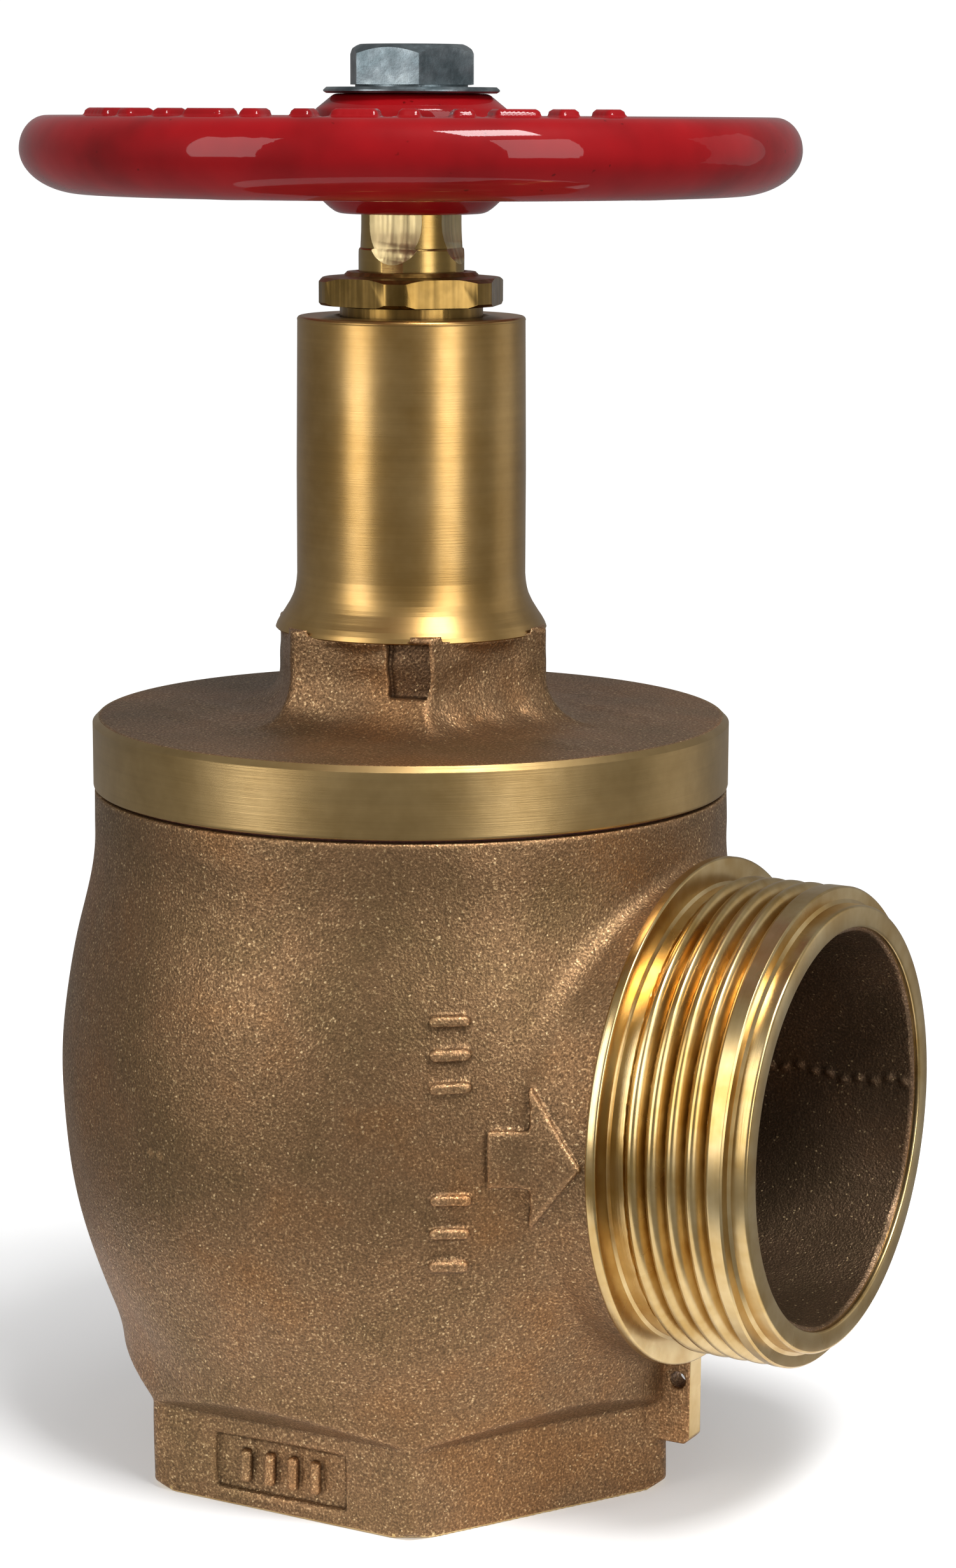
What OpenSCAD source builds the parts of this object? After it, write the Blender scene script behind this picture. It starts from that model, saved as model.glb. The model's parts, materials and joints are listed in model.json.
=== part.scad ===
// Angle-pattern globe valve for a hose connection, shut, standing on its inlet.
// The origin is the centre of the inlet mouth, +Z runs up the stem and +X out of the outlet.
// All sizes are in millimetres.

/* [Inlet end] */
// Distance across the flats of the hexagonal inlet end
hex_flats = 85.6; // [84:0.2:87]
// Height of the hexagonal inlet end
hex_height = 15.2; // [13:0.2:17]
// Radius of the inlet thread's crests
inlet_crest_r = 34.6; // [34:0.1:35]
// Depth of the inlet thread
inlet_depth = 2; // [1:0.1:2.4]
// Distance from one inlet thread to the next
inlet_pitch = 3.175; // [3.1:0.005:3.2]
// Number of inlet threads
inlet_turns = 7; // [4:1:7]

/* [Body] */
// Radius of the body at its widest
belly_r = 58.8; // [57:0.2:60]
// Height at which the body is widest
belly_z = 67; // [66:0.5:68]
// Radius of the arc that the body's side follows
belly_arc_r = 105; // [100:1:110]
// Thickness of the cast wall
wall = 5.5; // [5:0.1:6]
// Radius of the round neck under the bonnet
neck_r = 53; // [52.5:0.1:53.5]
// Height of the body's top face
body_top = 115.2; // [114:0.1:116]
// Radius of the opening that the bonnet screws into
opening_r = 46.1; // [45.5:0.1:46.5]
// Height of the seat's face
seat_z = 36; // [35:0.1:37]
// Radius of the waterway through the seat
seat_bore_r = 28; // [26:0.1:29]
// Outer radius of the raised seat
seat_r = 34; // [33:0.1:35]

/* [Outlet] */
// Height of the outlet's axis
outlet_z = 66; // [65:0.1:67]
// Distance from the valve's axis to the outlet's mouth
outlet_x = 79.8; // [79:0.1:82]
// Radius of the outlet's waterway
outlet_bore_r = 32; // [30:0.1:32.5]
// Radius of the outlet thread's crests
outlet_crest_r = 38.97; // [38.5:0.01:39.5]
// Depth of the outlet thread
outlet_depth = 2.2; // [1.5:0.1:2.3]
// Distance from one outlet thread to the next
outlet_pitch = 3.387; // [3.3:0.001:3.45]
// Radius of the collar behind the outlet thread
collar_r = 41.7; // [41:0.1:42.5]
// Distance from the valve's axis to the collar's back
collar_x = 54.7; // [54:0.1:55.5]
// Thickness of the collar
collar_thick = 1.9; // [1.5:0.1:2.5]

/* [Chain lug] */
// Thickness of the lug under the outlet
lug_thick = 4.4; // [4:0.1:5]
// Height of the lug's lower edge
lug_z = 8.8; // [6:0.1:10]
// Radius of the hole through the lug
lug_hole_r = 1.4; // [1.2:0.05:1.6]
// Height of the hole through the lug
lug_hole_z = 19.8; // [18:0.1:21]

/* [Bonnet] */
// Radius of the bonnet's flange
flange_r = 53.2; // [52.8:0.1:54]
// Height of the flange's top face
flange_top = 127.3; // [126.5:0.1:128]
// Distance across the flats of the bonnet's wrench hexagon
bonnet_flats = 42.3; // [42:0.1:43]
// Height of the hexagon's top
bonnet_hex_top = 143; // [142.5:0.1:143.5]
// Radius of the turned sleeve
sleeve_r = 19; // [18.5:0.1:19.5]
// Height of the sleeve's top
sleeve_top = 193.5; // [193:0.1:194]

/* [Stem] */
// Radius of the stem where it runs in the packing
stem_r = 8.7; // [8.6:0.05:8.8]
// Radius of the stem's upper end
stem_top_r = 8.25; // [8.1:0.05:8.3]
// Half the distance across the stem's milled flats
stem_flat = 7.05; // [7:0.05:7.2]
// Radius of the stem thread's crests
lead_crest_r = 12.7; // [12.5:0.05:12.75]
// Travel of the stem for one turn
lead = 5.08; // [4.5:0.01:5.5]
// Clearance between the stem and what it runs in
running = 0.08; // [0.05:0.01:0.1]

/* [Disc] */
// Radius of the rubber seat disc
disc_r = 33; // [32.5:0.1:33.5]
// Thickness of the rubber seat disc
disc_thick = 6.9; // [6:0.1:7.2]
// Gap left between the rubber and the seat when the valve is shut
seat_gap = 0.1; // [0.05:0.05:0.2]

/* [Handwheel] */
// Outer radius of the wheel
wheel_r = 63.7; // [60:0.1:65]
// Height of the rim's flat top
wheel_top = 225.8; // [225:0.1:226.5]
// Number of spokes
spokes = 5; // [3:1:5]
// Width of a spoke
spoke_w = 12; // [9:0.5:14]
// Distance across the flats of the bolt's head
bolt_flats = 19.05; // [18:0.05:20]

/* [Hidden] */
$fn = 96;

cast_bronze = [0.45, 0.33, 0.2];
turned_bronze = [0.72, 0.53, 0.33];
yellow_brass = [0.85, 0.68, 0.36];
red_enamel = [0.78, 0.04, 0.04];
zinc_steel = [0.72, 0.74, 0.78];
black_rubber = [0.06, 0.06, 0.06];
graphite = [0.2, 0.2, 0.21];
red_fibre = [0.45, 0.16, 0.12];

// Room left where a piece passes through or sits on another piece of the same body
ease = 0.05;
// Extra length of a cutting shape past the face that it opens
past = 1;
// Size of a small turned chamfer
edge = 0.5;

// Circumradius of a hexagon from its distance across the flats
function hex_r(flats) = flats / 2 / cos(30);
// Radius of the body's side at height z, drawn in by inset
function side_r(z, inset = 0) =
    belly_r - belly_arc_r + sqrt(pow(belly_arc_r - inset, 2) - pow(z - belly_z, 2));
// Points of the body's side from height z0 to z1
function side_points(z0, z1, inset, steps = 16) =
    [for (i = [0:steps]) let (z = z0 + (z1 - z0) * i / steps) [side_r(z, inset), z]];
// Outline of one V groove cut d deep at height z, on the side given by sign
function groove(r, z, d, sign) =
    let (half = d * tan(30) + thread_flat)
    [[r, z - half], [r + sign * d, z - thread_flat], [r + sign * d, z + thread_flat], [r, z + half]];
function grooves(r, z0, pitch, count, d, sign) =
    [for (i = [0:count - 1]) each groove(r, z0 + i * pitch, d, sign)];
// Points of an elliptical arc about a centre
function ellipse_points(c, a, b, from, to, steps = 8) =
    [for (i = [0:steps]) let (t = from + (to - from) * i / steps) c + [a * cos(t), b * sin(t)]];

// Half the width of a thread groove's flat bottom
thread_flat = 0.2;

// Inlet thread, from the mouth up to the waterway
inlet_first = 3;
inlet_end = 24.5;
inlet_run_out = 1.5;
waterway_r = 31;
seat_draft = 1.5;

// Body
core_bottom = 2;
core_inset = 0.5;
foot_in = 2.4;
foot_rise = 1.7;
shoulder_z = 18.5;
side_top = 100;
neck_bottom = 103.5;
throat_z = [29, 32];
chamber_floor = 30;
chamber_floor_r = 43.5;
chamber_side_z = 33;
chamber_top = 99;

// Outlet, in distances along its own axis
outlet_root_x = 25;
outlet_neck_r = 40.8;
collar_back = 1.5;
relief = 2.7;
relief_end = collar_x + collar_thick + relief;
outlet_turns = 4;
first_groove = relief_end + outlet_pitch;
crest_end = outlet_x - 3;
pilot_r = 36;
lip = 0.6;

// Lug under the outlet
lug_x = 54.5;
lug_inner_x = 40;
lug_top = 30;
lug_hole_x = 52.2;

// Flow arrow, raised from the outlet neck's flank
arrow_x = 46.6;
arrow_length = 14.4;
arrow_head = 20.5;
arrow_tail = 9.1;
arrow_tail_length = 6;
arrow_raise = 0.7;
arrow_root_y = -30;
arrow_root_r = 45;
arrow_reach = 30;
arrow_z = [50, 82];

// Recessed panel on one face of the inlet hexagon
panel_w = 25;
panel_z = [3, 12];
panel_depth = 0.7;

// Bonnet
gasket_thick = 0.5;
flange_bottom = body_top + gasket_thick;
skirt_r = opening_r - 0.1;
skirt_bottom = chamber_top + 2;
skirt_bore_r = 40;
skirt_bore_top = 112;
skirt_cone_r = 30;
skirt_first = 3;
skirt_pitch = 3.175;
skirt_depth = 1.6;
skirt_turns = 3;
gasket_r = 51.5;
gasket_room = 0.6;
flange_chamfer = 0.9;
fillet = 8;
bonnet_hex_turn = -54;
pocket_depth = 1.5;
pocket_side = 7.5;
pocket_z = 133;
pocket_size = [5, 7, 9];
lead_bore = [118, 143];
relief_r = 13.5;
guide_bottom = 167;
guide_gap = 0.4;
chamber_bottom = 169.5;
packing_r = 12.05;
sleeve_flare = 3.7;
sleeve_flare_h = 6;

// Packing
packing_ring_h = 3.15;
washer_h = 1.45;
gland_h = 5.4;
ring_z = chamber_bottom + ease + washer_h;
gland_z = ring_z + 3 * (packing_ring_h + ease) + ease;
nut_bottom = gland_z + gland_h + ease;
nut_shoulder = 195.3;
nut_top = 199.8;
nut_flats = 28.6;
nut_turned_r = 15.6;
nut_turn = -40;
nut_chamfer = 1.2;
nut_cone_r = 11;
nut_rise = 0.9;

// Stem
button_r = 15.5;
button_bottom = 54.1;
button_h = 5;
stem_neck_r = 9.9;
lead_z = [96, 146];
lead_first = 3;
lead_depth = 2.5;
stem_step_z = 204.5;
flats_z = 201;
flats_turn = -81.5;
stem_top = 228.6;
bolt_r = 4.76;
bolt_bottom = 212;
bolt_hole_bottom = 210;

// Disc
holder_r = 36.5;
disc_bottom = seat_z + seat_gap;
disc_top = disc_bottom + disc_thick;
rim_lift = 1.4;
holder_rim_z = disc_bottom + rim_lift;
holder_top = 49;
holder_chamfer = 2;
boss_r = 22;
boss_top = 66;
boss_foot = 3;
socket_floor = 53;
button_room = 0.3;
swivel_r = 18.5;
swivel_bore_room = 0.2;
swivel_bottom = button_bottom + button_h + 2 * ease;
swivel_top = 71;
swivel_flats = 36;
stud_r = 6;
stud_bottom = 25.5;
plate_r = 25;
plate_h = 2.6;
disc_nut_flats = 19;
disc_nut_h = 5;
lock_washer_h = 1;
pin_r = 1.5;
pin_z = 62.6;
pin_x = [16, 21.9];
pin_hole_end = pin_x[1] + 3;
thrust_bore_r = 0.8;
lock_washer_r = 9;

// Handwheel
rim_mid = wheel_top - 5.3;
rim_bottom = 213.2;
rim_inner_r = 50;
rim_chamfer = 1;
rim_inner_bottom = 217.2;
rim_slope = [2, 1.5];
rim_lower_a = 10.5;
rim_corner = 5;
hub_bottom = 210.1;
hub_foot = [[11.4, 0], [14.7, 2.6], [16, 5.4]];
hub_top = 229.4;
hub_head = [[16, 3], [15.6, 1.8], [13, 0]];
spoke_root_r = 12;
spoke_end_r = 54;
spoke_z = [215.5, 222];
spoke_turn = -18;
washer_r = 14.4;
washer_bore_r = 5.06;
washer_thick = 1;
bolt_head_z = 230.5;
bolt_head_top = 237.3;
bolt_turn = -54;
bolt_chamfer_r = 12;
bolt_chamfer_h = 1.4;
bolt_face = 0.4;

// A ring with square edges
module ring(outer, inner, z0, z1) {
    rotate_extrude()
        translate([inner, z0])
            square([outer - inner, z1 - z0]);
}

// A hexagonal prism, turned so that one corner points at the given angle
module hexagon(flats, z0, z1, turn = 0) {
    rotate([0, 0, turn])
        translate([0, 0, z0])
            cylinder(r = hex_r(flats), h = z1 - z0, $fn = 6);
}

// ---- Body ----

module body_side() {
    rotate_extrude()
        polygon(concat(
            [[0, core_bottom], [hex_flats / 2 - core_inset, core_bottom],
             [hex_flats / 2 - core_inset, hex_height]],
            side_points(shoulder_z, side_top, 0),
            [[neck_r, neck_bottom], [neck_r, body_top - edge], [neck_r - edge, body_top],
             [0, body_top]]));
}

// The hexagonal inlet end, its corners turned back at the foot
module inlet_hexagon() {
    corner_r = hex_r(hex_flats);
    intersection() {
        hexagon(hex_flats, 0, hex_height);
        rotate_extrude()
            polygon([[0, 0], [corner_r - foot_in, 0], [corner_r + foot_in, 2 * foot_rise],
                     [corner_r + foot_in, hex_height + past], [0, hex_height + past]]);
    }
}

module body_cavity() {
    rotate_extrude()
        polygon(concat(
            [[0, -past], [inlet_crest_r, -past]],
            grooves(inlet_crest_r, inlet_first, inlet_pitch, inlet_turns, inlet_depth, 1),
            [[inlet_crest_r, inlet_end], [waterway_r, inlet_end + inlet_run_out],
             [waterway_r, throat_z[0]], [seat_bore_r, throat_z[1]], [seat_bore_r, seat_z],
             [seat_r, seat_z], [seat_r + seat_draft, chamber_floor],
             [chamber_floor_r, chamber_floor]],
            side_points(chamber_side_z, chamber_top, wall),
            [[opening_r, chamber_top], [opening_r, body_top + past], [0, body_top + past]]));
}

module outlet_outside() {
    translate([0, 0, outlet_z])
        rotate([0, 90, 0])
            rotate_extrude()
                polygon(concat(
                    [[0, outlet_root_x], [outlet_neck_r, outlet_root_x],
                     [outlet_neck_r, collar_x - collar_back],
                     [collar_r, collar_x], [collar_r, collar_x + collar_thick],
                     [outlet_crest_r - outlet_depth, collar_x + collar_thick],
                     [outlet_crest_r - outlet_depth, relief_end],
                     [outlet_crest_r, relief_end + outlet_depth * tan(30)]],
                    grooves(outlet_crest_r, first_groove, outlet_pitch, outlet_turns, outlet_depth, -1),
                    [[outlet_crest_r, crest_end], [pilot_r, crest_end], [pilot_r, outlet_x - lip],
                     [pilot_r - lip, outlet_x], [0, outlet_x]]));
}

module outlet_waterway() {
    translate([outlet_root_x, 0, outlet_z])
        rotate([0, 90, 0])
            cylinder(r = outlet_bore_r, h = outlet_x - outlet_root_x + past);
}

module lug() {
    translate([lug_inner_x, -lug_thick / 2, lug_z])
        cube([lug_x - lug_inner_x, lug_thick, lug_top - lug_z]);
}

module lug_hole() {
    translate([lug_hole_x, lug_thick, lug_hole_z])
        rotate([90, 0, 0])
            cylinder(r = lug_hole_r, h = 2 * lug_thick);
}

module arrow_outline() {
    half = arrow_length / 2;
    polygon([[half, 0], [-half + arrow_tail_length, arrow_head / 2],
             [-half + arrow_tail_length, arrow_tail / 2], [-half, arrow_tail / 2],
             [-half, -arrow_tail / 2], [-half + arrow_tail_length, -arrow_tail / 2],
             [-half + arrow_tail_length, -arrow_head / 2]]);
}

module flow_arrow() {
    intersection() {
        translate([arrow_x, arrow_root_y, outlet_z])
            rotate([90, 0, 0])
                linear_extrude(height = arrow_reach)
                    arrow_outline();
        union() {
            rotate_extrude()
                polygon(concat([[arrow_root_r, arrow_z[0]]],
                    side_points(arrow_z[0], arrow_z[1], -arrow_raise),
                    [[arrow_root_r, arrow_z[1]]]));
            translate([outlet_root_x, 0, outlet_z])
                rotate([0, 90, 0])
                    cylinder(r = outlet_neck_r + arrow_raise, h = collar_x - outlet_root_x);
        }
    }
}

module panel() {
    translate([-panel_w / 2, -hex_flats / 2 - past, panel_z[0]])
        cube([panel_w, past + panel_depth, panel_z[1] - panel_z[0]]);
}

module body() {
    color(cast_bronze)
        difference() {
            union() {
                body_side();
                inlet_hexagon();
                outlet_outside();
                lug();
                flow_arrow();
            }
            body_cavity();
            outlet_waterway();
            lug_hole();
            panel();
        }
}

// ---- Bonnet and packing ----

module bonnet_outside() {
    rotate_extrude()
        polygon(concat(
            [[0, skirt_bottom], [skirt_r, skirt_bottom]],
            grooves(skirt_r, skirt_bottom + skirt_first, skirt_pitch, skirt_turns, skirt_depth, -1),
            [[skirt_r, flange_bottom], [flange_r - edge, flange_bottom],
             [flange_r, flange_bottom + edge], [flange_r, flange_top - flange_chamfer],
             [flange_r - flange_chamfer, flange_top]],
            ellipse_points([bonnet_flats / 2 + fillet, flange_top + fillet], fillet, fillet, 270, 180),
            [[0, flange_top + fillet]]));
}

module sleeve() {
    rotate_extrude()
        polygon(concat(
            [[0, bonnet_hex_top - past], [sleeve_r + sleeve_flare, bonnet_hex_top - past]],
            ellipse_points([sleeve_r + sleeve_flare, bonnet_hex_top + sleeve_flare_h],
                sleeve_flare, sleeve_flare_h, 270, 180),
            [[sleeve_r, sleeve_top - edge], [sleeve_r - edge, sleeve_top], [0, sleeve_top]]));
}

module bonnet_bore() {
    rotate_extrude()
        polygon([[0, skirt_bottom - past], [skirt_bore_r, skirt_bottom - past],
                 [skirt_bore_r, skirt_bore_top], [skirt_cone_r, lead_bore[0]],
                 [lead_crest_r + running, lead_bore[0]],
                 [lead_crest_r + running, lead_bore[1]], [relief_r, lead_bore[1]],
                 [relief_r, guide_bottom], [stem_r + guide_gap, guide_bottom],
                 [stem_r + guide_gap, chamber_bottom], [packing_r, chamber_bottom],
                 [packing_r, sleeve_top + past], [0, sleeve_top + past]]);
}

module wrench_pocket() {
    rotate([0, 0, bonnet_hex_turn - 30])
        translate([bonnet_flats / 2 - pocket_depth, pocket_side, pocket_z])
            cube(pocket_size);
}

module bonnet() {
    color(turned_bronze)
        difference() {
            union() {
                bonnet_outside();
                hexagon(bonnet_flats, flange_top - past, bonnet_hex_top, bonnet_hex_turn);
                sleeve();
            }
            bonnet_bore();
            wrench_pocket();
        }
}

module bonnet_gasket() {
    color(red_fibre)
        ring(gasket_r, opening_r + gasket_room, body_top, flange_bottom);
}

module packing_washer() {
    color(yellow_brass)
        ring(packing_r - ease, stem_r + running, chamber_bottom + ease, chamber_bottom + ease + washer_h);
}

// One ring of stem packing, counted upwards from the washer
module packing_ring(index) {
    z = ring_z + index * (packing_ring_h + ease) + ease;
    color(graphite)
        ring(packing_r - ease, stem_r + running, z, z + packing_ring_h);
}

module packing_ring_lower() {
    packing_ring(0);
}

module packing_ring_middle() {
    packing_ring(1);
}

module packing_ring_upper() {
    packing_ring(2);
}

module packing_gland() {
    color(yellow_brass)
        ring(packing_r - ease, stem_r + running, gland_z + ease, gland_z + gland_h);
}

module packing_nut() {
    color(yellow_brass)
        difference() {
            union() {
                translate([0, 0, nut_bottom])
                    cylinder(r = packing_r - 2 * ease, h = nut_shoulder + past - nut_bottom);
                intersection() {
                    hexagon(nut_flats, nut_shoulder, nut_top + past, nut_turn - 30);
                    rotate_extrude()
                        polygon([[0, nut_shoulder], [nut_turned_r - edge, nut_shoulder],
                                 [nut_turned_r, nut_shoulder + edge], [nut_turned_r, nut_top - edge],
                                 [nut_turned_r - nut_chamfer, nut_top],
                                 [nut_cone_r, nut_top + nut_rise], [0, nut_top + nut_rise]]);
                }
            }
            translate([0, 0, nut_bottom - past])
                cylinder(r = stem_r + running, h = nut_top + nut_rise - nut_bottom + 2 * past);
        }
}

// ---- Disc ----

module disc_holder() {
    color(turned_bronze)
        difference() {
            rotate_extrude()
                polygon([[0, stud_bottom], [stud_r - edge, stud_bottom], [stud_r, stud_bottom + edge],
                         [stud_r, disc_top + ease], [disc_r + ease, disc_top + ease],
                         [disc_r + ease, holder_rim_z], [holder_r, holder_rim_z],
                         [holder_r, holder_top - holder_chamfer],
                         [holder_r - holder_chamfer, holder_top], [boss_r + boss_foot, holder_top + 1],
                         [boss_r, holder_top + 1 + boss_foot], [boss_r, boss_top - edge],
                         [boss_r - edge, boss_top], [swivel_r + ease, boss_top],
                         [swivel_r + ease, swivel_bottom - 2 * ease],
                         [button_r + button_room, swivel_bottom - 2 * ease],
                         [button_r + button_room, socket_floor], [0, socket_floor]]);
            pin_hole();
        }
}

// The cross hole that the locking pin sits in
module pin_hole() {
    translate([pin_x[0] - ease, 0, pin_z])
        rotate([0, 90, 0])
            cylinder(r = pin_r + ease, h = pin_hole_end - pin_x[0] + ease);
}

module swivel_pin() {
    color(zinc_steel)
        translate([pin_x[0], 0, pin_z])
            rotate([0, 90, 0])
                cylinder(r = pin_r, h = pin_x[1] - pin_x[0]);
}

module swivel_nut() {
    color(yellow_brass)
        difference() {
            union() {
                translate([0, 0, swivel_bottom])
                    cylinder(r = swivel_r, h = boss_top + past - swivel_bottom);
                hexagon(swivel_flats, boss_top + ease, swivel_top);
            }
            translate([0, 0, swivel_bottom - past])
                cylinder(r = lead_crest_r + swivel_bore_room, h = swivel_top - swivel_bottom + 2 * past);
            pin_hole();
        }
}

module thrust_washer() {
    color(zinc_steel)
        ring(button_r - button_room, thrust_bore_r, socket_floor, button_bottom - 2 * ease);
}

module seat_disc() {
    color(black_rubber)
        ring(disc_r, stud_r + ease, disc_bottom, disc_top);
}

module disc_plate() {
    color(yellow_brass)
        ring(plate_r, stud_r + ease, disc_bottom - plate_h, disc_bottom);
}

module lock_washer() {
    color(zinc_steel)
        ring(lock_washer_r, stud_r + ease, disc_bottom - plate_h - lock_washer_h, disc_bottom - plate_h);
}

module disc_nut() {
    top = disc_bottom - plate_h - lock_washer_h;
    color(yellow_brass)
        difference() {
            hexagon(disc_nut_flats, top - disc_nut_h, top);
            translate([0, 0, top - disc_nut_h - past])
                cylinder(r = stud_r + ease, h = disc_nut_h + 2 * past);
        }
}

// ---- Stem and handwheel ----

// The four milled flats, as what is left of a bar after milling
module square_bar(half, r, z0, z1) {
    intersection() {
        translate([0, 0, z0])
            cylinder(r = r, h = z1 - z0);
        rotate([0, 0, flats_turn])
            translate([-half, -half, z0])
                cube([2 * half, 2 * half, z1 - z0]);
    }
}

module stem_round() {
    first = lead_z[0] + lead_first;
    count = floor((lead_z[1] - first) / lead);
    rotate_extrude()
        polygon(concat(
            [[0, button_bottom], [button_r, button_bottom], [button_r, button_bottom + button_h],
             [stem_neck_r, button_bottom + button_h], [stem_neck_r, lead_z[0]],
             [lead_crest_r, lead_z[0]]],
            grooves(lead_crest_r, first, lead, count, lead_depth, -1),
            [[lead_crest_r, lead_z[1]], [stem_r, lead_z[1]], [stem_r, flats_z], [0, flats_z]]));
}

module stem() {
    color(yellow_brass)
        difference() {
            union() {
                stem_round();
                square_bar(stem_flat, stem_r, flats_z - past, stem_step_z);
                square_bar(stem_flat, stem_top_r, stem_step_z - past, stem_top);
            }
            translate([0, 0, bolt_hole_bottom])
                cylinder(r = bolt_r + ease, h = stem_top - bolt_hole_bottom + past);
        }
}

module rim() {
    rotate_extrude()
        polygon(concat(
            [[rim_inner_r + rim_slope[0], rim_bottom + rim_slope[1]],
             [wheel_r - rim_lower_a, rim_bottom]],
            ellipse_points([wheel_r - rim_lower_a, rim_mid], rim_lower_a, rim_mid - rim_bottom, 285, 360),
            ellipse_points([wheel_r - rim_corner, rim_mid], rim_corner, wheel_top - rim_mid, 15, 90),
            [[rim_inner_r + rim_chamfer, wheel_top], [rim_inner_r, wheel_top - rim_chamfer],
             [rim_inner_r, rim_inner_bottom]]));
}

module hub() {
    rotate_extrude()
        polygon(concat([[0, hub_bottom]], [for (p = hub_foot) [p[0], hub_bottom + p[1]]],
            [for (p = hub_head) [p[0], hub_top - p[1]]], [[0, hub_top]]));
}

module spoke(index) {
    rotate([0, 0, spoke_turn + index * 360 / spokes])
        translate([spoke_root_r, -spoke_w / 2, spoke_z[0]])
            cube([spoke_end_r - spoke_root_r, spoke_w, spoke_z[1] - spoke_z[0]]);
}

module handwheel() {
    color(red_enamel)
        difference() {
            union() {
                rim();
                hub();
                for (i = [0:spokes - 1])
                    spoke(i);
            }
            square_bar(stem_flat + ease, stem_top_r + ease, hub_bottom - past, hub_top + past);
        }
}

module wheel_washer() {
    color(zinc_steel)
        ring(washer_r, washer_bore_r, hub_top + ease, hub_top + ease + washer_thick);
}

module wheel_bolt() {
    color(zinc_steel)
        union() {
            translate([0, 0, bolt_bottom])
                cylinder(r = bolt_r, h = bolt_head_z + past - bolt_bottom);
            intersection() {
                hexagon(bolt_flats, bolt_head_z, bolt_head_top, bolt_turn);
                rotate_extrude()
                    polygon([[0, bolt_head_z], [bolt_chamfer_r, bolt_head_z],
                             [bolt_chamfer_r, bolt_head_top - bolt_chamfer_h],
                             [bolt_flats / 2 - bolt_face, bolt_head_top], [0, bolt_head_top]]);
            }
        }
}

body();
bonnet();
bonnet_gasket();
packing_washer();
packing_ring_lower();
packing_ring_middle();
packing_ring_upper();
packing_gland();
packing_nut();
disc_holder();
seat_disc();
disc_plate();
lock_washer();
disc_nut();
thrust_washer();
swivel_nut();
swivel_pin();
stem();
handwheel();
wheel_washer();
wheel_bolt();
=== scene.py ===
import json
import math

import bpy
import numpy as np
from mathutils import Matrix, Vector


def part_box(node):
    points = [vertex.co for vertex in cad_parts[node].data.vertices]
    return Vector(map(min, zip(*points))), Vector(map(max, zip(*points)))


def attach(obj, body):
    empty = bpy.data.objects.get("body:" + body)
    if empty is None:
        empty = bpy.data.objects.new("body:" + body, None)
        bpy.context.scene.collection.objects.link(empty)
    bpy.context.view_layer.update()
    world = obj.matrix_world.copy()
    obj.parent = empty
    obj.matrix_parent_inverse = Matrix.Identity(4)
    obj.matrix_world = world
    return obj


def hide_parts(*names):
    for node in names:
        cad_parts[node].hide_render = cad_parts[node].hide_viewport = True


# Angle-pattern globe valve with a hose outlet. The CAD frame gives every size that matters. Castings
# are grown from distance fields, and turned parts are lathed. The valve is drawn in millimetres, and
# mesh() scales it to metres. The camera, the lights and the floor are in metres.
#
# In a field, a factor named true_* keeps a sloping or stretched distance close to the real one, and
# the last number of smooth_min() and smooth_max() is the size of the fillet or rounded edge.

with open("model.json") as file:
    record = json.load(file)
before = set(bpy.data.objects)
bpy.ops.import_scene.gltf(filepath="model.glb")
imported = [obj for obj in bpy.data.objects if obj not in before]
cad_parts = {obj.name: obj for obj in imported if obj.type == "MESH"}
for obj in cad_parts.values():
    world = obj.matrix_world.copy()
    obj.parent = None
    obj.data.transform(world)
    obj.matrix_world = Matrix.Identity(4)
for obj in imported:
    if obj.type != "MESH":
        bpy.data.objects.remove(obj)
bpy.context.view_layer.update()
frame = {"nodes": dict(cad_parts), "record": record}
MM = 0.001


def cad_box(node):
    """Lowest and highest corner of a CAD node, in millimetres."""
    low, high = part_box(node)
    return np.array(low) / MM, np.array(high) / MM


def mount(name):
    """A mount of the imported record."""
    return next(m for m in frame["record"]["mounts"] if m["name"] == name)


# ---------------------------------------------------------------- driving sizes, in millimetres

BODY_HIGH, BONNET_HIGH, WHEEL_HIGH, GASKET_HIGH = (
    cad_box(node)[1] for node in ("body", "bonnet", "handwheel", "bonnet_gasket"))
STEM_LOW, STEM_HIGH = cad_box("stem")
WASHER_LOW, WASHER_HIGH = cad_box("wheel_washer")
BOLT_LOW, BOLT_HIGH = cad_box("wheel_bolt")

BODY_TOP = BODY_HIGH[2]
OUTLET_X = BODY_HIGH[0]
OUTLET_Z = mount("outlet")["pos_m"][2] / MM
OUTLET_R = mount("outlet")["dims"]["r_mm"]
INLET_R = mount("inlet")["dims"]["r_mm"]
FLANGE_R = BONNET_HIGH[0]
FLANGE_LOW = GASKET_HIGH[2]
WHEEL_R = WHEEL_HIGH[0]

# Body casting: belly, neck above it, round foot and hexagon below it, wall
BELLY_R, BELLY_Z, BELLY_ARC = 58.8, 67.0, 105.0
NECK_R, NECK_LOW = 53.0, 92.0
FOOT_TOP = 27.0
HEX_APOTHEM, HEX_CORNER, HEX_TOP, HEX_FADED = 42.8, 49.4, 15.2, 24.0
WALL = 5.5

# Inside of the body: seat, chamber round the disc, opening under the bonnet, recess of the inlet
SEAT_Z, SEAT_BORE, SEAT_R = 36.0, 28.0, 34.0
SEAT_CUT = (25.0, 45.0)
CHAMBER = (30.0, 99.0)
OPENING_R = 46.1
INLET_DEPTH, INLET_WALL = 24.5, 2.8

# Recessed panel on the hexagon, and the plain upright bars in it
PANEL_Z, PANEL_HALF = 7.5, (12.5, 1.1, 4.6)
BAR_HALF, BAR_STEP, BAR_COUNT = (1.0, 0.8, 2.8), 4.4, 4

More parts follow.
